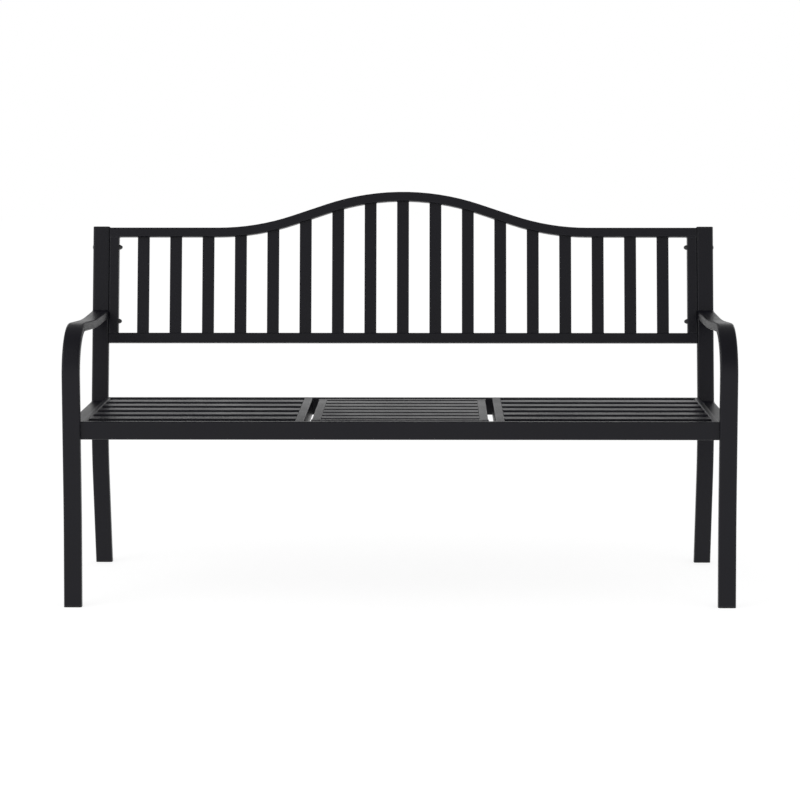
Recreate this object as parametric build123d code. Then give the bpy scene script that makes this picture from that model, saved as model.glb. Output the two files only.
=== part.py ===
from build123d import *
import os
from math import cos, radians, sin, tan

os.makedirs("parts", exist_ok=True)

# A steel garden bench with two slatted seats and a slatted table panel between them.
# Closed, the table lies level with the seats. It lifts on two pairs of swinging links,
# forwards and up to the height of the armrests, and stays level all the way.
# Sizes are millimetres. X runs to the right as seen from the front, Y to the back, Z up.
# While it is built, depth is measured back from the middle of the front feet. The finished
# bench is then moved so that the origin lies on the ground under the middle of its outline.

# Side frames, one tube for front leg and armrest and one for rear leg and back post
frame_width = 1511
tube_wide = 40
tube_deep = 20
tube_corner = 5
tube_wall = 1.5
leg_lean = 5.3
leg_upper_lean = 1.8
leg_bend_height = 196
leg_bend_radius = 2000
arm_corner_height = 625
arm_bow_radius = 105
arm_fall = 3.5
arm_rise = 1.3
arm_dip_depth = 330
arm_dip_radius = 1500
feet_apart = 517
post_splay = 8.5
post_recline = 11.5
post_knee_height = 313
post_knee_radius = 570
post_top_height = 820
stretcher_top_height = 404.5
stretcher_tall = 20
foot_cap_thick = 3
top_cap_thick = 2.5
cap_plug_deep = 14
top_cap_round_share = 0.4
foot_overrun = 20

# Seat frame
seat_height = 417
seat_front_depth = 24
seat_deep = 428
rail_tall = 41
rail_thick = 15
rail_corner = 2.5
rail_wall = 1.3
end_rail_thick = 13
cross_rail_thick = 20
cross_rail_inner = 216

# Slats of the seats and the table
slat_wide = 38
slat_thick = 12
slat_corner = 2
slat_wall = 1.1
seat_slat_count = 5
table_slat_count = 6

# Table panel
table_wide = 398
table_front_gap = 9
table_deep = 370
table_member = 20
table_member_corner = 2.5
table_member_wall = 1.3

# Backrest, set in the reclined plane of the back posts
back_deep = 20
back_corner = 2.5
back_wall = 1.3
back_bottom_tall = 24.5
back_bottom_height = 553
back_top_tall = 22.5
back_top_height = 806.5
back_stile_wide = 23
back_slat_wide = 29
back_slat_thick = 4
back_slat_corner = 0.8
back_slat_count = 17
back_slat_first = 59.5
arch_half_span = 356
arch_apex_rise = 120
arch_radius = 575

# Table lift
link_length = 200
link_wide = 16
link_thick = 5
link_plane_gap = 2
rear_link_inset = 9
link_below_table = 2
front_pivot_depth = 75
rear_pivot_depth = 200
link_open_angle = 100
cross_rod_radius = 5
front_rod_share = 0.5
rear_rod_share = 0.75
lug_thick = 5
lug_boss = 3
lug_round = 11
stop_pin_radius = 2.5
stop_pin_reach = 9
running_gap = 0.3
pivot_clearance = 0.1
rivet_head_thick = 1
rivet_head_radius = 7

# Rests under the closed table
rest_tab_wide = 40
rest_tab_thick = 4
rest_tab_across = 140
rest_tab_overlap = 16
buffer_thick = 4
buffer_radius = 7

# Fasteners
pivot_bolt_radius = 4
back_bolt_radius = 3
seat_bolt_radius = 4
hole_clearance = 0.3
thread_clearance = 0.1
nut_across = 13
nut_thick = 6
cap_nut_across = 10
cap_nut_thick = 8
cap_nut_base_share = 0.42
cap_nut_dome_share = 0.98
cap_nut_hole_share = 0.7
back_head_radius = 6
seat_head_radius = 7.5
round_head_thick = 2
pivot_head_radius = 6.5
pivot_head_thick = 4
bolt_end_proud = 2
socket_across = 4
socket_deep = 2.4
spacer_wall = 2
back_bolt_heights = (593.5, 771)
seat_bolt_inset = 70

# Places worked out from the sizes above
side_x = (frame_width - tube_wide) / 2
side_inner = frame_width / 2 - tube_wide
recline = radians(post_recline)
knee_depth = feet_apart - post_knee_height * tan(radians(post_splay))
front_rail_back = seat_front_depth + rail_thick
rear_rail_front = seat_front_depth + seat_deep - rail_thick
end_rail_inner = side_inner - end_rail_thick
cross_rail_outer = cross_rail_inner + cross_rail_thick
rail_middle = seat_height - rail_tall / 2
slat_middle = seat_height - slat_thick / 2
table_half = table_wide / 2
table_front = front_rail_back + table_front_gap
table_back = table_front + table_deep
table_bottom = seat_height - table_member
table_inner = table_half - table_member
pivot_height = table_bottom - link_below_table - link_wide / 2
rear_link_inner = table_half - rear_link_inset
rear_link_outer = rear_link_inner + link_thick
front_link_outer = rear_link_inner - link_plane_gap
front_link_inner = front_link_outer - link_thick
front_upper_depth = front_pivot_depth + link_length
rear_upper_depth = rear_pivot_depth + link_length

shapes = {}


def post_depth(height):
    """Depth of the reclined post's middle line at a height."""
    return knee_depth + (height - post_knee_height) * tan(recline)


def slope_up(height):
    """Distance up the reclined plane, from the knee to a height."""
    return (height - post_knee_height) / cos(recline)


def inner_corner(wide, tall, corner, wall):
    return corner * (1 - 2 * wall / min(wide, tall))


def outline(wide, tall, corner):
    return RectangleRounded(wide, tall, corner)


def tube_space(wide, tall, corner, wall):
    inside = inner_corner(wide, tall, corner, wall)
    return RectangleRounded(wide - 2 * wall, tall - 2 * wall, inside)


def box_between(low, high):
    """A plain block from its lowest to its highest corner."""
    sizes = [top - bottom for bottom, top in zip(low, high)]
    middle = [(top + bottom) / 2 for bottom, top in zip(low, high)]
    return Pos(*middle) * Box(*sizes)


def tube_across(x_start, x_end, depth, height, deep, tall, corner, wall):
    """A straight tube along X, with its middle line at a depth and a height."""
    start = Plane(origin=(x_start, depth, height), x_dir=(0, 1, 0), z_dir=(1, 0, 0))
    face = outline(deep, tall, corner) - tube_space(deep, tall, corner, wall)
    return extrude(start * face, amount=x_end - x_start)


def tube_back(x, depth_start, depth_end, height, wide, tall, corner, wall):
    """A straight tube from front to back, with its middle line at x and a height."""
    start = Plane(origin=(x, depth_start, height), x_dir=(1, 0, 0), z_dir=(0, 1, 0))
    face = outline(wide, tall, corner) - tube_space(wide, tall, corner, wall)
    return extrude(start * face, amount=depth_end - depth_start)


def rod_across(x_start, x_end, depth, height, radius):
    """A round bar along X."""
    middle = Pos((x_start + x_end) / 2, depth, height)
    return middle * Rot(0, 90, 0) * Cylinder(radius, abs(x_end - x_start))


def outward(side, x, depth, height):
    """A place on the bench whose own Z axis points away from the middle, along X."""
    return Pos(side * x, depth, height) * Rot(0, side * 90, 0)


def dome(radius, thick):
    """A round cap that stands on the ground plane."""
    ball = (radius**2 + thick**2) / (2 * thick)
    return Pos(0, 0, thick - ball) * Sphere(ball) & Pos(0, 0, thick / 2) * Cylinder(radius, thick)


def pin(radius, length, head_radius, head_thick):
    """A pin with a low round head. Its shank hangs below the origin, and its head sits on top."""
    shank = Pos(0, 0, -length / 2) * Cylinder(radius, length)
    return shank + dome(head_radius, head_thick)


def bolt(radius, length, head_radius, head_thick):
    """A pin whose head has a six sided socket for the key that turns it."""
    socket = extrude(RegularPolygon(socket_across / 2, 6, major_radius=False), amount=socket_deep)
    body = pin(radius, length, head_radius, head_thick)
    return body - Pos(0, 0, head_thick - socket_deep) * socket


def hex_nut(across, thick, hole):
    body = extrude(RegularPolygon(across / 2, 6, major_radius=False), amount=thick)
    return body - Pos(0, 0, thick / 2) * Cylinder(hole, thick)


def cap_nut(across, thick, hole):
    """A nut with a domed end, open at the ground plane."""
    base = thick * cap_nut_base_share
    hole_deep = thick * cap_nut_hole_share
    body = extrude(RegularPolygon(across / 2, 6, major_radius=False), amount=base)
    body += Pos(0, 0, base) * dome(across / 2 * cap_nut_dome_share, thick - base)
    return body - Pos(0, 0, hole_deep / 2) * Cylinder(hole, hole_deep)


def spread(start, end, count, size):
    """Middles of equal pieces laid with equal gaps between two faces."""
    gap = (end - start - count * size) / (count + 1)
    return [start + gap * (n + 1) + size * n + size / 2 for n in range(count)]


# Side frames
def side_paths(x):
    """Middle lines of the leg and arm tube and of the post tube."""
    below = -foot_overrun
    leg_knee = (leg_bend_height * tan(radians(leg_lean)), leg_bend_height)
    arm_corner_depth = leg_knee[0] + (arm_corner_height - leg_bend_height) * tan(radians(leg_upper_lean))
    dip_height = arm_corner_height - (arm_dip_depth - arm_corner_depth) * tan(radians(arm_fall))
    slope = tan(radians(arm_rise))
    to_post = (post_depth(dip_height) - arm_dip_depth) / (1 - slope * tan(recline))
    leg_arm = FilletPolyline(
        (below * tan(radians(leg_lean)), below),
        leg_knee,
        (arm_corner_depth, arm_corner_height),
        (arm_dip_depth, dip_height),
        (arm_dip_depth + to_post, dip_height + to_post * slope),
        radius=[leg_bend_radius, arm_bow_radius, arm_dip_radius],
    )
    top = post_top_height - top_cap_thick * cos(recline)
    post = FilletPolyline(
        (feet_apart - below * tan(radians(post_splay)), below),
        (knee_depth, post_knee_height),
        (post_depth(top), top),
        radius=[post_knee_radius],
    )
    plane = Plane.YZ.offset(x)
    return plane * leg_arm, plane * post


def sweep_tube(path):
    """The filled outline of a side frame tube and the space inside it."""
    start = Plane(origin=path @ 0, x_dir=(1, 0, 0), z_dir=path % 0)
    filled = sweep(start * outline(tube_wide, tube_deep, tube_corner), path=path)
    space = sweep(start * tube_space(tube_wide, tube_deep, tube_corner, tube_wall), path=path)
    return filled, space


def slab(x, low, high):
    """A level slice of space, larger than one side frame."""
    reach = feet_apart * 2
    return box_between((x - tube_wide, -reach, low), (x + tube_wide, reach, high))


def foot_cap(x, filled, space):
    sole = filled & slab(x, 0, foot_cap_thick)
    plug = space & slab(x, foot_cap_thick, foot_cap_thick + cap_plug_deep)
    return sole + plug


def top_cap(path):
    end = Plane(origin=path @ 1, x_dir=(1, 0, 0), z_dir=path % 1)
    lid = extrude(end * outline(tube_wide, tube_deep, tube_corner), amount=top_cap_thick)
    lid = fillet(lid.faces().sort_by(Axis.Z)[-1].edges(), top_cap_thick * top_cap_round_share)
    plug = extrude(end * tube_space(tube_wide, tube_deep, tube_corner, tube_wall), amount=-cap_plug_deep)
    return lid + plug


stretcher_middle = stretcher_top_height - stretcher_tall / 2
seat_bolt_depths = (front_rail_back + seat_bolt_inset, rear_rail_front - seat_bolt_inset)
front_feet = []
rear_feet = []
top_caps = []
for side, side_name in ((-1, "left"), (1, "right")):
    x = side * side_x
    through_tube = (side * (side_inner - tube_wall), side * (frame_width / 2 + tube_wall))
    leg_path, post_path = side_paths(x)
    leg_filled, leg_space = sweep_tube(leg_path)
    post_filled, post_space = sweep_tube(post_path)
    below_ground = slab(x, -2 * foot_overrun, foot_cap_thick)
    post = post_filled - post_space - below_ground
    for height in back_bolt_heights:
        post -= rod_across(*through_tube, post_depth(height), height, back_bolt_radius + hole_clearance)
    stretcher = tube_back(
        x, seat_front_depth, post_depth(stretcher_middle), stretcher_middle,
        tube_wide, stretcher_tall, tube_corner, tube_wall,
    )
    stretcher = stretcher - leg_filled - post_filled
    for depth in seat_bolt_depths:
        stretcher -= rod_across(*through_tube, depth, stretcher_middle, seat_bolt_radius + hole_clearance)
    shapes[side_name + "_front_leg_and_arm"] = leg_filled - leg_space - below_ground - post_filled
    shapes[side_name + "_rear_leg_and_post"] = post
    shapes[side_name + "_side_stretcher"] = stretcher
    front_feet.append(foot_cap(x, leg_filled, leg_space))
    rear_feet.append(foot_cap(x, post_filled, post_space))
    top_caps.append(top_cap(post_path))
shapes["front_foot_caps"] = front_feet
shapes["rear_foot_caps"] = rear_feet
shapes["post_top_caps"] = top_caps


# Seat frame
def seat_rail_across(front_depth):
    """The front or rear rail, between the two side frames."""
    return tube_across(
        -side_inner, side_inner, front_depth + rail_thick / 2, rail_middle,
        rail_thick, rail_tall, rail_corner, rail_wall,
    )


def seat_rail_back(x, thick):
    """An end rail or cross rail, between the front and rear rails."""
    return tube_back(
        x, front_rail_back, rear_rail_front, rail_middle,
        thick, rail_tall, rail_corner, rail_wall,
    )


shapes["seat_front_rail"] = seat_rail_across(seat_front_depth)
shapes["seat_rear_rail"] = seat_rail_across(rear_rail_front)
for side, side_name in ((-1, "left"), (1, "right")):
    end_rail = seat_rail_back(side * (end_rail_inner + side_inner) / 2, end_rail_thick)
    for depth in seat_bolt_depths:
        end_rail -= rod_across(
            side * (end_rail_inner - rail_wall), side * (side_inner + rail_wall), depth,
            stretcher_middle, seat_bolt_radius + hole_clearance,
        )
    cross_rail = seat_rail_back(side * (cross_rail_inner + cross_rail_outer) / 2, cross_rail_thick)
    for depth in (front_pivot_depth, rear_pivot_depth):
        cross_rail -= rod_across(
            side * (cross_rail_inner - rail_wall), side * (cross_rail_outer + rail_wall), depth,
            pivot_height, pivot_bolt_radius + hole_clearance,
        )
    shapes["seat_" + side_name + "_end_rail"] = end_rail
    shapes["seat_" + side_name + "_cross_rail"] = cross_rail
    depths = spread(front_rail_back, rear_rail_front, seat_slat_count, slat_wide)
    for number, depth in enumerate(depths, 1):
        shapes[f"{side_name}_seat_slat_{number}"] = tube_across(
            side * cross_rail_outer, side * end_rail_inner, depth, slat_middle,
            slat_wide, slat_thick, slat_corner, slat_wall,
        )

# Backrest, drawn flat with X across and Y up the slope, then set in the plane of the posts
back_plane = Plane(
    origin=(0, knee_depth, post_knee_height), x_dir=(1, 0, 0), z_dir=(0, -cos(recline), sin(recline))
)
bottom_rail_up = slope_up(back_bottom_height)
top_rail_up = slope_up(back_top_height)
stile_inner = side_inner - back_stile_wide


def back_tube(path, tall):
    """A tube of the backrest, its filled outline and its finished hollow form."""
    start = Plane(origin=path @ 0, x_dir=(0, 0, 1), z_dir=path % 0)
    filled = sweep(start * outline(back_deep, tall, back_corner), path=path)
    space = sweep(start * tube_space(back_deep, tall, back_corner, back_wall), path=path)
    return filled, filled - space


top_path = FilletPolyline(
    (-side_inner, top_rail_up),
    (-arch_half_span, top_rail_up),
    (0, top_rail_up + arch_apex_rise),
    (arch_half_span, top_rail_up),
    (side_inner, top_rail_up),
    radius=[arch_radius, arch_radius, arch_radius],
)
top_rail_filled, top_rail = back_tube(top_path, back_top_tall)
bottom_path = Line((-side_inner, bottom_rail_up), (side_inner, bottom_rail_up))
bottom_rail = back_tube(bottom_path, back_bottom_tall)[1]
bottom_rail_top = bottom_rail_up + back_bottom_tall / 2
shapes["back_top_rail"] = back_plane * top_rail
shapes["back_bottom_rail"] = back_plane * bottom_rail

for side, side_name in ((-1, "left"), (1, "right")):
    stile_x = side * (stile_inner + side_inner) / 2
    stile_path = Line((stile_x, bottom_rail_top), (stile_x, top_rail_up - back_top_tall / 2))
    start = Plane(origin=stile_path @ 0, x_dir=(1, 0, 0), z_dir=(0, 1, 0))
    face = outline(back_stile_wide, back_deep, back_corner)
    face -= tube_space(back_stile_wide, back_deep, back_corner, back_wall)
    stile = extrude(start * face, amount=stile_path.length)
    stile = back_plane * stile
    for height in back_bolt_heights:
        stile -= rod_across(
            side * (stile_inner - back_wall), side * (side_inner + back_wall), post_depth(height),
            height, back_bolt_radius + hole_clearance,
        )
    shapes[side_name + "_back_stile"] = stile


def back_slat(x):
    """An upright flat slat, cut off against the underside of the top rail."""
    start = Plane(origin=(x, bottom_rail_top, 0), x_dir=(1, 0, 0), z_dir=(0, 1, 0))
    face = outline(back_slat_wide, back_slat_thick, back_slat_corner)
    past_rail = top_rail_up + arch_apex_rise + back_top_tall - bottom_rail_top
    bar = extrude(start * face, amount=past_rail) - top_rail_filled
    return back_plane * bar.solids().sort_by(Axis.Y)[0]


slat_reach = stile_inner - back_slat_first
slat_pitch = 2 * slat_reach / (back_slat_count - 1)
back_slats = [back_slat(slat_pitch * n - slat_reach) for n in range(back_slat_count)]
half_count = back_slat_count // 2
shapes["left_back_slats"] = back_slats[:half_count]
shapes["centre_back_slat"] = back_slats[half_count:back_slat_count - half_count]
shapes["right_back_slats"] = back_slats[back_slat_count - half_count:]

# Table panel
table_middle = seat_height - table_member / 2


def table_member_across(front_depth):
    return tube_across(
        -table_half, table_half, front_depth + table_member / 2, table_middle,
        table_member, table_member, table_member_corner, table_member_wall,
    )


shapes["table_front_member"] = table_member_across(table_front)
shapes["table_rear_member"] = table_member_across(table_back - table_member)
for side, side_name in ((-1, "left"), (1, "right")):
    shapes[f"table_{side_name}_member"] = tube_back(
        side * (table_inner + table_half) / 2, table_front + table_member, table_back - table_member,
        table_middle, table_member, table_member, table_member_corner, table_member_wall,
    )
depths = spread(table_front + table_member, table_back - table_member, table_slat_count, slat_wide)
for number, depth in enumerate(depths, 1):
    shapes[f"table_slat_{number}"] = tube_across(
        -table_inner, table_inner, depth, slat_middle, slat_wide, slat_thick, slat_corner, slat_wall
    )


# Table lift. The links lie level and point to the back while the table is closed.
def link(side, inner, depth, upper_clearance):
    """A flat bar with round ends and a hole at each pivot."""
    middle = depth + link_length / 2
    across = sorted((side * inner, side * (inner + link_thick)))
    start = Plane(origin=(across[0], middle, pivot_height), x_dir=(0, 1, 0), z_dir=(1, 0, 0))
    face = SlotCenterToCenter(link_length, link_wide)
    for end, clearance in ((-1, pivot_clearance), (1, upper_clearance)):
        face -= Pos(end * link_length / 2, 0) * Circle(pivot_bolt_radius + clearance)
    return extrude(start * face, amount=link_thick)


def lug(side, inner, depth, top, link_face):
    """A plate under the table that holds a link, with a boss and the pin that stops the link."""
    swing = radians(link_open_angle)
    off_edge = link_wide / 2 + stop_pin_radius
    pin_back = off_edge * sin(swing) - stop_pin_reach * cos(swing)
    pin_down = stop_pin_reach * sin(swing) + off_edge * cos(swing)
    outer = inner + lug_thick
    across = sorted((side * inner, side * outer))
    low = (across[0], depth - lug_round, pivot_height - lug_round)
    high = (across[1], depth + pin_back + 2 * stop_pin_radius, top)
    plate = box_between(low, high)
    plate += rod_across(side * outer, side * (link_face - running_gap), depth, pivot_height, link_wide / 2)
    plate -= rod_across(side * inner, side * link_face, depth, pivot_height, pivot_bolt_radius + hole_clearance)
    pin_depth = depth + pin_back
    pin_height = pivot_height - pin_down
    plate += rod_across(side * outer, side * (link_face + link_thick), pin_depth, pin_height, stop_pin_radius)
    return plate


front_lug_inner = table_inner - lug_thick
rear_lug_inner = rear_link_inner - lug_boss - lug_thick
front_lugs = []
rear_lugs = []
for side, side_name in ((-1, "left"), (1, "right")):
    shapes[side_name + "_front_link"] = link(
        side, front_link_inner, front_pivot_depth, pivot_clearance
    )
    shapes[side_name + "_rear_link"] = link(
        side, rear_link_inner, rear_pivot_depth, running_gap
    )
    front_lugs.append(
        lug(side, front_lug_inner, front_upper_depth, seat_height - slat_thick, front_link_inner)
    )
    rear_lugs.append(lug(side, rear_lug_inner, rear_upper_depth, table_bottom, rear_link_inner))
shapes["front_table_lugs"] = front_lugs
shapes["rear_table_lugs"] = rear_lugs
for name, inner, depth, share in (
    ("front_link_cross_rod", front_link_inner, front_pivot_depth, front_rod_share),
    ("rear_link_cross_rod", rear_link_inner, rear_pivot_depth, rear_rod_share),
):
    shapes[name] = rod_across(-inner, inner, depth + link_length * share, pivot_height, cross_rod_radius)


# Rests under the closed table
def rest_tab(x, from_depth, to_depth, top):
    low = (x - rest_tab_wide / 2, min(from_depth, to_depth), top - rest_tab_thick)
    high = (x + rest_tab_wide / 2, max(from_depth, to_depth), top)
    return box_between(low, high)


tab_top = table_bottom - running_gap - buffer_thick
rest_tabs = []
rest_buffers = []
for x in (-rest_tab_across, rest_tab_across):
    for rail_face, member_edge, inward in (
        (front_rail_back, table_front, 1), (rear_rail_front, table_back, -1),
    ):
        end = member_edge + inward * rest_tab_overlap
        rest_tabs.append(rest_tab(x, rail_face, end, tab_top))
        middle = member_edge + inward * rest_tab_overlap / 2
        rest_buffers.append(Pos(x, middle, tab_top + buffer_thick / 2) * Cylinder(buffer_radius, buffer_thick))
shapes["rest_tabs"] = rest_tabs
shapes["rest_buffers"] = rest_buffers

# Fasteners
back_bolts = []
back_cap_nuts = []
seat_bolts = []
hex_nuts = []
lower_pivot_bolts = []
pivot_spacers = []
upper_pivot_pins = []
upper_pin_nuts = []
lower_pivots = (
    (front_pivot_depth, front_link_inner, front_link_outer, bolt, pivot_head_radius, pivot_head_thick),
    (rear_pivot_depth, rear_link_inner, rear_link_outer, pin, rivet_head_radius, rivet_head_thick),
)
upper_pivots = (
    (front_upper_depth, front_link_outer, front_lug_inner),
    (rear_upper_depth, rear_link_outer, rear_lug_inner),
)
bolt_end = cross_rail_outer + nut_thick + bolt_end_proud
for side in (-1, 1):
    for height in back_bolt_heights:
        length = frame_width / 2 - stile_inner + cap_nut_thick / 2
        place = outward(side, frame_width / 2, post_depth(height), height)
        back_bolts.append(place * bolt(back_bolt_radius, length, back_head_radius, round_head_thick))
        place = outward(-side, -stile_inner, post_depth(height), height)
        hole = back_bolt_radius + thread_clearance
        back_cap_nuts.append(place * cap_nut(cap_nut_across, cap_nut_thick, hole))
    for depth in seat_bolt_depths:
        length = frame_width / 2 - end_rail_inner + nut_thick + bolt_end_proud
        place = outward(side, frame_width / 2, depth, stretcher_middle)
        seat_bolts.append(place * bolt(seat_bolt_radius, length, seat_head_radius, round_head_thick))
        place = outward(-side, -end_rail_inner, depth, stretcher_middle)
        hex_nuts.append(place * hex_nut(nut_across, nut_thick, seat_bolt_radius + thread_clearance))
    for depth, link_in, link_out, form, head_radius, head_thick in lower_pivots:
        under_head = link_in - running_gap
        place = outward(-side, -under_head, depth, pivot_height)
        lower_pivot_bolts.append(place * form(pivot_bolt_radius, bolt_end - under_head, head_radius, head_thick))
        spacer_start = link_out + running_gap
        spacer = rod_across(
            side * spacer_start, side * cross_rail_inner, depth, pivot_height, pivot_bolt_radius + spacer_wall
        )
        pivot_spacers.append(spacer - rod_across(
            side * spacer_start, side * cross_rail_inner, depth, pivot_height,
            pivot_bolt_radius + thread_clearance,
        ))
        place = outward(side, cross_rail_outer, depth, pivot_height)
        hex_nuts.append(place * hex_nut(nut_across, nut_thick, pivot_bolt_radius + thread_clearance))
    for depth, link_out, lug_in in upper_pivots:
        under_head = link_out + running_gap
        length = under_head - lug_in + nut_thick + bolt_end_proud
        place = outward(side, under_head, depth, pivot_height)
        upper_pivot_pins.append(place * pin(pivot_bolt_radius, length, rivet_head_radius, rivet_head_thick))
        place = outward(-side, -lug_in, depth, pivot_height)
        upper_pin_nuts.append(place * hex_nut(nut_across, nut_thick, pivot_bolt_radius + thread_clearance))
shapes["back_bolts"] = back_bolts
shapes["back_cap_nuts"] = back_cap_nuts
shapes["seat_bolts"] = seat_bolts
shapes["hex_nuts"] = hex_nuts
shapes["lower_pivot_bolts"] = lower_pivot_bolts
shapes["pivot_spacers"] = pivot_spacers
shapes["upper_pivot_pins"] = upper_pivot_pins
shapes["upper_pin_nuts"] = upper_pin_nuts

# Move the bench so that the origin lies on the ground under its middle, and write each piece
whole = Compound(children=[
    Compound(children=list(shape)) if isinstance(shape, list) else shape for shape in shapes.values()
])
middle_depth = whole.bounding_box().center().Y
to_origin = Pos(0, -middle_depth, 0)
for name, shape in shapes.items():
    solids = [to_origin * solid for piece in (shape if isinstance(shape, list) else [shape])
              for solid in piece.solids()]
    export_step(solids[0] if len(solids) == 1 else Compound(children=solids), f"parts/{name}.step")
    print(name, len(solids))
print("overall", whole.bounding_box().size)
for name, depth in (
    ("front lower pivot", front_pivot_depth), ("rear lower pivot", rear_pivot_depth),
    ("front upper pivot", front_upper_depth), ("rear upper pivot", rear_upper_depth),
):
    print(name, "at y", round(depth - middle_depth, 4), "z", pivot_height)
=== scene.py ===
import math

import bmesh
import bpy
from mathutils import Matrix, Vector, noise
from mathutils.bvhtree import BVHTree


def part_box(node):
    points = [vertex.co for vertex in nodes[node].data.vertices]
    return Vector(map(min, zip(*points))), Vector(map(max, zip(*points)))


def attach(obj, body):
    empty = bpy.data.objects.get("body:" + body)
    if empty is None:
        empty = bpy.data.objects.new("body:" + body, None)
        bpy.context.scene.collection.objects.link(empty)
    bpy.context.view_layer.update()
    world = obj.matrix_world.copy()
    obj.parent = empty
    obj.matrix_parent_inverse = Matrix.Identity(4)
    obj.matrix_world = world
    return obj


# Looks of the garden bench with table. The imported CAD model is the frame, and everything
# here is in its metres: X to the right as seen from the front, Y to the back, Z up.
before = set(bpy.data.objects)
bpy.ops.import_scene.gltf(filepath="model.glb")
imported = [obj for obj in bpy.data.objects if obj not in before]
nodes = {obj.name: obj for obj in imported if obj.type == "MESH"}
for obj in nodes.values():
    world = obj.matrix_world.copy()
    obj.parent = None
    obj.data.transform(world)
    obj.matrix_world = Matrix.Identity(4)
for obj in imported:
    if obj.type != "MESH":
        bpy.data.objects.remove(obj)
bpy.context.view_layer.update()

# Camera, measured from the photograph
image_wide = 800
focal_pixels = 2410
sensor_wide = 36
camera_place = (0.084, -5.6113, 1.1716)
camera_pitch = math.radians(7.52)
camera_yaw = math.radians(0.35)
vanishing_offset_pixels = 37.4
camera_reach = 100

# Finishes, by their slot in the record. There are so many grains in a metre, with a relief in metres.
# The wear is how far the coat is rubbed off along the edges, where the rubbed colour shows.
finish_values = {
    "black_powder_coat": dict(
        color=(0.0036, 0.0034, 0.0066), rubbed_color=(0.034, 0.034, 0.038), specular=0.24,
        rough=(0.33, 0.41), grains=520, relief=0.0004, wear=0.8, metallic=0,
    ),
    "plastic_caps": dict(
        color=(0.0085, 0.0085, 0.0095), rubbed_color=(0.02, 0.02, 0.021), specular=0.35,
        rough=(0.46, 0.56), grains=900, relief=0.00005, wear=0.5, metallic=0,
    ),
    "rubber_buffers": dict(
        color=(0.011, 0.011, 0.011), rubbed_color=(0.02, 0.02, 0.02), specular=0.25,
        rough=(0.72, 0.84), grains=1400, relief=0.00006, wear=0.3, metallic=0,
    ),
    "black_fasteners": dict(
        color=(0.009, 0.009, 0.010), rubbed_color=(0.05, 0.05, 0.052), specular=0.5,
        rough=(0.3, 0.4), grains=1500, relief=0.00003, wear=1, metallic=0,
    ),
    "zinc_fasteners": dict(
        color=(0.42, 0.43, 0.44), rubbed_color=(0.6, 0.6, 0.6), specular=0.5,
        rough=(0.34, 0.5), grains=1600, relief=0.00003, wear=0.7, metallic=1,
    ),
}

# Texture of every finish. Each noise has its detail and its roughness, and the range of it that is used.
mottle_per_metre = 9
mottle_noise = (4, 0.6)
mottle_range = (0.3, 0.7)
patches_per_metre = 126
patches_noise = (3, 0.55)
patches_range = (0.35, 0.75)
grain_noise = (2, 0.45)
pits_for_each_grain = 3.1
pits_noise = (1, 0.5)
pits_range = (0.3, 0.8)
pits_relief_share = 0.35
pits_rough_shares = (0.96, 1.07)
tone_shares = (0.86, 1.12)
rubbed_rough_share = 0.82
bump_strength = 0.55
edge_reach = 0.004
edge_samples = 6
edge_agreement = (0.992, 0.94)

# Weld beads, in metres along and across the seam
frame_bead = 0.0012
slat_bead = 0.0012
rod_bead = 0.001
bead_step = 0.0006
bead_sides = 7
shortest_bead_steps = 6
taper_steps = 4
taper_end_share = 0.35
ripple_length = 0.0018
ripple_share = 0.2
waver_per_metre = 260
waver_share = 0.25
touch_reach = 0.0004
same_point_reach = 1e-6
straight_area = 1e-12
flush_depth = 0.003

# Plugs in the open ends of the table's tubes. Each ring has its share of the rise and its inset in metres.
plug_rise = 0.0012
plug_crown = 0.0004
plug_corner = 0.0026
plug_least_corner = 0.0006
plug_corner_steps = 5
plug_rings = ((0, 0), (0.6, 0), (0.9, 0.0003), (1, 0.0009), (1, 0.003))

# Studio
white = (1, 1, 1, 1)
world_level = 0.75
backdrop_top_share = 0.28
ceiling_start_share = 0.48
ceiling_level = 0.3
floor_size = 30
floor_color = (0.8, 0.8, 0.8, 1)
seen_floor_color = (0.3, 0.3, 0.3, 1)
floor_glow = 0.78
lamp_target = (0, 0, 0.4)
lamp_size = 3
key_place = (-3.4, -2.2, 3)
key_watts = 55
fill_place = (3.6, -1.6, 3)
fill_watts = 22


def place_camera():
    data = bpy.data.cameras.new("photo_camera")
    data.sensor_width = sensor_wide
    data.lens = focal_pixels / image_wide * sensor_wide
    data.shift_x = (focal_pixels * math.tan(camera_yaw) - vanishing_offset_pixels) / image_wide
    data.clip_end = camera_reach
    camera = bpy.data.objects.new("photo_camera", data)
    camera.location = camera_place
    camera.rotation_euler = (math.pi / 2 - camera_pitch, 0, camera_yaw)
    bpy.context.scene.collection.objects.link(camera)
    bpy.context.scene.camera = camera


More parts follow.
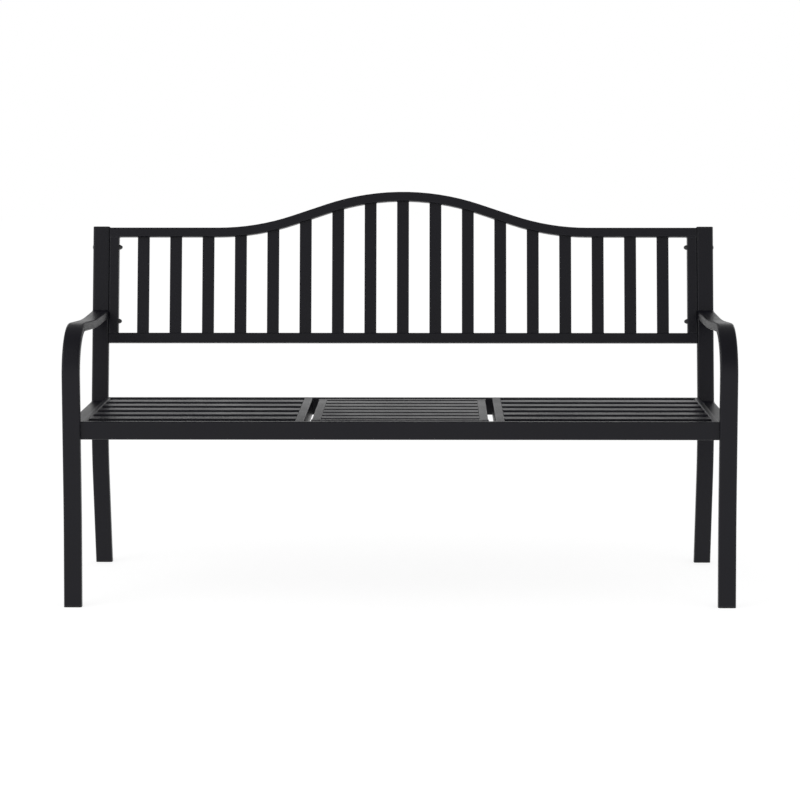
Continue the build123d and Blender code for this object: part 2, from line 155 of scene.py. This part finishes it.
class Nodes:
    """A short way to write a node tree."""

    def __init__(self, tree):
        self.tree = tree

    def add(self, kind, inputs=None, **settings):
        node = self.tree.nodes.new(kind)
        for key, value in settings.items():
            setattr(node, key, value)
        for key, value in (inputs or {}).items():
            if isinstance(value, bpy.types.NodeSocket):
                self.tree.links.new(value, node.inputs[key])
            else:
                node.inputs[key].default_value = value
        return node

    def math(self, operation, first, second):
        return self.add("ShaderNodeMath", {0: first, 1: second}, operation=operation).outputs[0]

    def noise(self, place, per_metre, detail, roughness):
        node = self.add(
            "ShaderNodeTexNoise",
            {"Vector": place, "Scale": per_metre, "Detail": detail, "Roughness": roughness},
        )
        return node.outputs["Fac"]

    def spread(self, value, low, high, to_low, to_high):
        node = self.add(
            "ShaderNodeMapRange",
            {"Value": value, "From Min": low, "From Max": high, "To Min": to_low, "To Max": to_high},
        )
        return node.outputs["Result"]

    def tint(self, share, first, second):
        node = self.add("ShaderNodeMix", data_type="RGBA")
        self.tree.links.new(share, node.inputs["Factor"])
        for key, value in (("A", first), ("B", second)):
            socket = [s for s in node.inputs if s.name == key and s.type == "RGBA"][0]
            if isinstance(value, bpy.types.NodeSocket):
                self.tree.links.new(value, socket)
            else:
                socket.default_value = (*value, 1)
        return [s for s in node.outputs if s.type == "RGBA"][0]

    def shows_backdrop(self, path):
        """1 for the rays that show the backdrop itself, of the kinds that path tells apart."""
        seen = self.math("MAXIMUM", path["Is Camera Ray"], path["Is Glossy Ray"])
        return self.math("MAXIMUM", seen, path["Is Transmission Ray"])


def new_material(name):
    material = bpy.data.materials.new(name)
    material.use_nodes = True
    material.node_tree.nodes.clear()
    return material, Nodes(material.node_tree)


def edge_mask(n):
    """Bright along the edges of the real shape, where a coat is rubbed thin."""
    bevel = n.add("ShaderNodeBevel", {"Radius": edge_reach}, samples=edge_samples)
    flat = n.add("ShaderNodeNewGeometry").outputs["Normal"]
    agree = n.add("ShaderNodeVectorMath", {0: bevel.outputs[0], 1: flat}, operation="DOT_PRODUCT")
    return n.spread(agree.outputs["Value"], *edge_agreement, 0, 1)


def finished(name, color, rubbed_color, specular, rough, grains, relief, wear, metallic):
    """A coated or bare surface with fine texture, uneven gloss and rubbed edges."""
    material, n = new_material(name)
    place = n.add("ShaderNodeTexCoord").outputs["Object"]
    mottle = n.noise(place, mottle_per_metre, *mottle_noise)
    patches = n.noise(place, patches_per_metre, *patches_noise)
    grain = n.noise(place, grains, *grain_noise)
    pits = n.noise(place, grains * pits_for_each_grain, *pits_noise)
    rubbed = n.math("MULTIPLY", edge_mask(n), n.spread(patches, *patches_range, 0, wear))
    dark, light = ([channel * share for channel in color] for share in tone_shares)
    shade = n.tint(n.spread(mottle, *mottle_range, 0, 1), dark, light)
    base = n.tint(rubbed, shade, rubbed_color)
    gloss = n.spread(mottle, *mottle_range, *rough)
    speckle = n.spread(pits, *pits_range, *pits_rough_shares)
    worn = n.spread(rubbed, 0, 1, 1, rubbed_rough_share)
    roughness = n.math("MULTIPLY", n.math("MULTIPLY", gloss, speckle), worn)
    height = n.math("ADD", grain, n.math("MULTIPLY", pits, pits_relief_share))
    bump = n.add("ShaderNodeBump", {"Height": height, "Strength": bump_strength, "Distance": relief})
    shader = n.add(
        "ShaderNodeBsdfPrincipled",
        {
            "Base Color": base, "Roughness": roughness, "Normal": bump.outputs[0],
            "Specular IOR Level": specular, "Metallic": metallic,
        },
    )
    n.add("ShaderNodeOutputMaterial", {"Surface": shader.outputs[0]})
    return material


def dress_frame():
    """Gives each CAD node the finish of its slot in the record, and returns the finishes."""
    slots = {name: piece.data.materials[0].name for name, piece in nodes.items()}
    for imported in list(bpy.data.materials):
        imported.name = "imported_" + imported.name
    looks = {name: finished(name, **values) for name, values in finish_values.items()}
    for name, slot in slots.items():
        nodes[name].data.materials[0] = looks[slot]
    return looks


def islands(name):
    """The points of each separate solid of a CAD node, from left to right."""
    shape = bmesh.new()
    shape.from_mesh(nodes[name].data)
    bmesh.ops.remove_doubles(shape, verts=shape.verts, dist=same_point_reach)
    left = set(shape.verts)
    found = []
    for start in shape.verts:
        if start not in left:
            continue
        left.remove(start)
        waiting = [start]
        island = []
        while waiting:
            vert = waiting.pop()
            island.append(vert.co.copy())
            for edge in vert.link_edges:
                other = edge.other_vert(vert)
                if other in left:
                    left.remove(other)
                    waiting.append(other)
        found.append(island)
    shape.free()
    return sorted(found, key=lambda island: min(point.x for point in island))


def surface_of(name):
    """The surface of a CAD node, to look up its nearest points."""
    shape = bmesh.new()
    shape.from_mesh(nodes[name].data)
    tree = BVHTree.FromBMesh(shape)
    shape.free()
    return tree


def outer_ring(points, along):
    """The points on the outside of a section, in order round it. along is the direction of the tube."""
    along = Vector(along).normalized()
    across = along.orthogonal().normalized()
    up = along.cross(across)
    flat = sorted((point.dot(across), point.dot(up), n) for n, point in enumerate(points))

    def half(run):
        chain = []
        for x, y, n in run:
            while len(chain) > 1:
                (ax, ay, _), (bx, by, _) = chain[-2:]
                if (bx - ax) * (y - ay) - (by - ay) * (x - ax) > straight_area:
                    break
                chain.pop()
            chain.append((x, y, n))
        return chain[:-1]

    return [points[n] for _, _, n in half(flat) + half(flat[::-1])]


def seam(points, on, along):
    """The closed line where a piece, given by its points, meets the surface of another."""
    touching = []
    for point in points:
        distance = on.find_nearest(point)[3]
        if distance is not None and distance < touch_reach:
            touching.append(point)
    return outer_ring(touching, along) if len(touching) > 2 else []


def seams_at_ends(points, on, along):
    """The seams at both ends of a straight piece, on any of the surfaces."""
    along = Vector(along)
    places = [point.dot(along) for point in points]
    middle = (min(places) + max(places)) / 2
    ends = [[], []]
    for point, place in zip(points, places):
        ends[place > middle].append(point)
    return [line for line in (seam(end, tree, along) for end in ends for tree in on) if line]


def even_points(line):
    """A closed line cut into short equal steps."""
    found = []
    for start, end in zip(line, line[1:] + line[:1]):
        steps = max(1, round((end - start).length / bead_step))
        found += [start.lerp(end, n / steps) for n in range(steps)]
    return found


def runs_of(line, keep):
    """The stretches of a closed line that keep says to weld, and whether each is closed."""
    points = even_points(line)
    wanted = [keep(point) for point in points]
    if all(wanted):
        return [(points, True)]
    first = wanted.index(False)
    runs, run = [], []
    for n in range(len(points)):
        at = (first + n) % len(points)
        if wanted[at]:
            run.append(points[at])
        elif run:
            runs.append((run, False))
            run = []
    if run:
        runs.append((run, False))
    return [(run, closed) for run, closed in runs if len(run) > shortest_bead_steps]


def add_bead(shape, points, closed, radius):
    """One weld bead along a run of points: a round ridge with the ripples of a moving torch."""
    middle = sum(points, Vector()) / len(points)
    last = len(points) - 1
    rings = []
    for n, point in enumerate(points):
        before = points[n - 1] if closed or n else point
        after = points[(n + 1) % len(points)] if closed or n < last else point
        ahead = (after - before).normalized()
        out = (point - middle) - ahead * (point - middle).dot(ahead)
        out.normalize()
        side = ahead.cross(out)
        ripple = (n * bead_step / ripple_length) % 1
        waver = noise.noise(point * waver_per_metre)
        size = radius * (1 + ripple_share * (ripple - 0.5) + waver_share * waver)
        if not closed:
            size *= min(1, taper_end_share + min(n, last - n) / taper_steps)
        rings.append([
            shape.verts.new(point + (out * math.cos(turn) + side * math.sin(turn)) * size)
            for turn in (2 * math.pi * k / bead_sides for k in range(bead_sides))
        ])
    pairs = zip(rings, rings[1:] + rings[:1]) if closed else zip(rings, rings[1:])
    for first, second in pairs:
        add_band(shape, first, second)
    if not closed:
        shape.faces.new(rings[0])
        shape.faces.new(rings[-1][::-1])


def add_band(shape, first, second):
    """The faces between two rings of as many points."""
    for k in range(len(first)):
        shape.faces.new((first[k - 1], first[k], second[k], second[k - 1])).smooth = True


def new_piece(name, shape, look):
    """Ends a shape and makes it an object with a look."""
    bmesh.ops.recalc_face_normals(shape, faces=shape.faces)
    mesh = bpy.data.meshes.new(name)
    shape.to_mesh(mesh)
    shape.free()
    mesh.materials.append(look)
    piece = bpy.data.objects.new(name, mesh)
    bpy.context.scene.collection.objects.link(piece)
    return piece


def weld(name, body, lines, radius, look, keep=lambda point: True):
    """All the beads of one kind as one piece that rides on a body."""
    shape = bmesh.new()
    for line in lines:
        for points, closed in runs_of(line, keep):
            add_bead(shape, points, closed, radius)
    piece = new_piece(name, shape, look)
    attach(piece, body)


def weld_seat_and_table(look, rails):
    """The welds of both seats and of the table, with none that stands over their flush tops."""
    seat_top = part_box("left_seat_slat_1")[1].z
    table_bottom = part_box("table_left_member")[0].z

    def below_top(point):
        return point.z < seat_top - flush_depth

    def table_side(point):
        return table_bottom + flush_depth < point.z < seat_top - flush_depth

    across, back = (1, 0, 0), (0, 1, 0)
    long_rails = [rails["seat_front_rail"], rails["seat_rear_rail"]]
    members = [rails["table_front_member"], rails["table_rear_member"]]
    side_members = [rails["table_left_member"], rails["table_right_member"]]
    seat_slats, frame_lines, table_lines, table_slats = [], [], [], []
    for side in ("left", "right"):
        end_rails = [rails[f"seat_{side}_end_rail"], rails[f"seat_{side}_cross_rail"]]
        for name in sorted(nodes):
            if name.startswith(side + "_seat_slat"):
                seat_slats += seams_at_ends(islands(name)[0], end_rails, across)
        for kind in ("end", "cross"):
            frame_lines += seams_at_ends(islands(f"seat_{side}_{kind}_rail")[0], long_rails, back)
        table_lines += seams_at_ends(islands(f"table_{side}_member")[0], members, back)
    for name in sorted(nodes):
        if name.startswith("table_slat"):
            table_slats += seams_at_ends(islands(name)[0], side_members, across)
    weld("seat_slat_welds", "bench", seat_slats, slat_bead, look, below_top)
    weld("seat_frame_welds", "bench", frame_lines, frame_bead, look, below_top)
    weld("table_frame_welds", "table", table_lines, slat_bead, look, table_side)
    weld("table_slat_welds", "table", table_slats, slat_bead, look, below_top)


def weld_backrest(look, rails):
    low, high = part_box("left_back_stile")
    slope = Vector((0, high.y - low.y, high.z - low.z)).normalized()
    back_rails = [rails["back_bottom_rail"], rails["back_top_rail"]]
    slats, stiles = [], []
    for name in ("left_back_slats", "centre_back_slat", "right_back_slats"):
        for points in islands(name):
            slats += seams_at_ends(points, back_rails, slope)
    for side in ("left", "right"):
        stiles += seams_at_ends(islands(side + "_back_stile")[0], back_rails, slope)
    weld("back_slat_welds", "bench", slats, rod_bead, look)
    weld("back_stile_welds", "bench", stiles, slat_bead, look)


def weld_the_rest(look, rails):
    """The welds of the side frames, the links and the rest tabs."""
    across, back = (1, 0, 0), (0, 1, 0)
    side_lines = []
    for side in ("left", "right"):
        post = surface_of(side + "_rear_leg_and_post")
        leg = surface_of(side + "_front_leg_and_arm")
        side_lines.append(seam(islands(side + "_front_leg_and_arm")[0], post, back))
        side_lines += seams_at_ends(islands(side + "_side_stretcher")[0], [leg, post], back)
    weld("side_frame_welds", "bench", side_lines, frame_bead, look)

    for pair in ("front", "rear"):
        links = [surface_of(f"{side}_{pair}_link") for side in ("left", "right")]
        lines = seams_at_ends(islands(pair + "_link_cross_rod")[0], links, across)
        weld(pair + "_link_welds", pair + "_links", lines, rod_bead, look)

    tab_lines = []
    for points in islands("rest_tabs"):
        tab_lines += seams_at_ends(points, [rails["seat_front_rail"], rails["seat_rear_rail"]], back)
    weld("rest_tab_welds", "bench", tab_lines, slat_bead, look)


def rounded_rectangle(half_wide, half_tall, corner):
    """Points round a rectangle with rounded corners, on a plane."""
    found = []
    for n, (x, y) in enumerate(((1, 1), (-1, 1), (-1, -1), (1, -1))):
        for k in range(plug_corner_steps + 1):
            turn = math.pi / 2 * (n + k / plug_corner_steps)
            found.append((
                x * (half_wide - corner) + corner * math.cos(turn),
                y * (half_tall - corner) + corner * math.sin(turn),
            ))
    return found


def plug_tube_ends(look):
    """A pressed in plastic plug, with a low crown, in each open end of the table's two long tubes."""
    shape = bmesh.new()
    for name in ("table_front_member", "table_rear_member"):
        low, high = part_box(name)
        half_wide, half_tall = (high.y - low.y) / 2, (high.z - low.z) / 2
        middle = (low + high) / 2
        for side, end in ((-1, low.x), (1, high.x)):
            rings = []
            for rise_share, inset in plug_rings:
                corner = max(plug_corner - inset, plug_least_corner)
                outline = rounded_rectangle(half_wide - inset, half_tall - inset, corner)
                x = end + side * rise_share * plug_rise
                rings.append([shape.verts.new((x, middle.y + y, middle.z + z)) for y, z in outline])
            crown = shape.verts.new((end + side * (plug_rise + plug_crown), middle.y, middle.z))
            for first, second in zip(rings, rings[1:]):
                add_band(shape, first, second)
            for k in range(len(rings[-1])):
                shape.faces.new((rings[-1][k - 1], rings[-1][k], crown)).smooth = True
            shape.faces.new(rings[0])
    piece = new_piece("table_tube_plugs", shape, look)
    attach(piece, "table")


def build_world():
    """A white backdrop. Reflections show it too, but those from high above show a dimmer ceiling."""
    world = bpy.data.worlds.new("studio")
    bpy.context.scene.world = world
    world.use_nodes = True
    world.node_tree.nodes.clear()
    n = Nodes(world.node_tree)
    path = n.add("ShaderNodeLightPath").outputs
    direction = n.add("ShaderNodeTexCoord").outputs["Generated"]
    height = n.add("ShaderNodeSeparateXYZ", {0: direction}).outputs["Z"]
    overhead = n.spread(height, backdrop_top_share, ceiling_start_share, 0, 1 - ceiling_level)
    level = n.math("SUBTRACT", 1, n.math("MULTIPLY", overhead, path["Is Glossy Ray"]))
    light = n.add("ShaderNodeBackground", {"Color": white, "Strength": world_level})
    backdrop = n.add("ShaderNodeBackground", {"Color": white, "Strength": level})
    surface = {0: n.shows_backdrop(path), 1: light.outputs[0], 2: backdrop.outputs[0]}
    n.add("ShaderNodeOutputWorld", {"Surface": n.add("ShaderNodeMixShader", surface).outputs[0]})


def lay_floor():
    """A floor that looks white and keeps the object's shadow."""
    mesh = bpy.data.meshes.new("studio_floor")
    half = floor_size / 2
    corners = [(x * half, y * half, 0) for x, y in ((-1, -1), (1, -1), (1, 1), (-1, 1))]
    mesh.from_pydata(corners, [], [(0, 1, 2, 3)])
    floor = bpy.data.objects.new("studio_floor", mesh)
    bpy.context.scene.collection.objects.link(floor)
    material, n = new_material("studio_floor")
    path = n.add("ShaderNodeLightPath").outputs
    plain = n.add("ShaderNodeBsdfDiffuse", {"Color": floor_color})
    shaded = n.add("ShaderNodeBsdfDiffuse", {"Color": seen_floor_color})
    glow = n.add("ShaderNodeEmission", {"Color": white, "Strength": floor_glow})
    pale = n.add("ShaderNodeAddShader", {0: shaded.outputs[0], 1: glow.outputs[0]})
    surface = {0: n.shows_backdrop(path), 1: plain.outputs[0], 2: pale.outputs[0]}
    n.add("ShaderNodeOutputMaterial", {"Surface": n.add("ShaderNodeMixShader", surface).outputs[0]})
    mesh.materials.append(material)


def add_lamp(name, place, watts):
    data = bpy.data.lights.new(name, "AREA")
    data.shape = "SQUARE"
    data.size = lamp_size
    data.energy = watts
    lamp = bpy.data.objects.new(name, data)
    lamp.location = place
    aim = Vector(lamp_target) - Vector(place)
    lamp.rotation_euler = aim.to_track_quat("-Z", "Y").to_euler()
    bpy.context.scene.collection.objects.link(lamp)


place_camera()
looks = dress_frame()
plug_tube_ends(looks["plastic_caps"])
rails = {name: surface_of(name) for name in nodes if name.endswith(("_rail", "_member"))}
for weld_part in (weld_seat_and_table, weld_backrest, weld_the_rest):
    weld_part(looks["black_powder_coat"], rails)
build_world()
lay_floor()
add_lamp("key_lamp", key_place, key_watts)
add_lamp("fill_lamp", fill_place, fill_watts)
bpy.context.scene.view_settings.view_transform = "Standard"
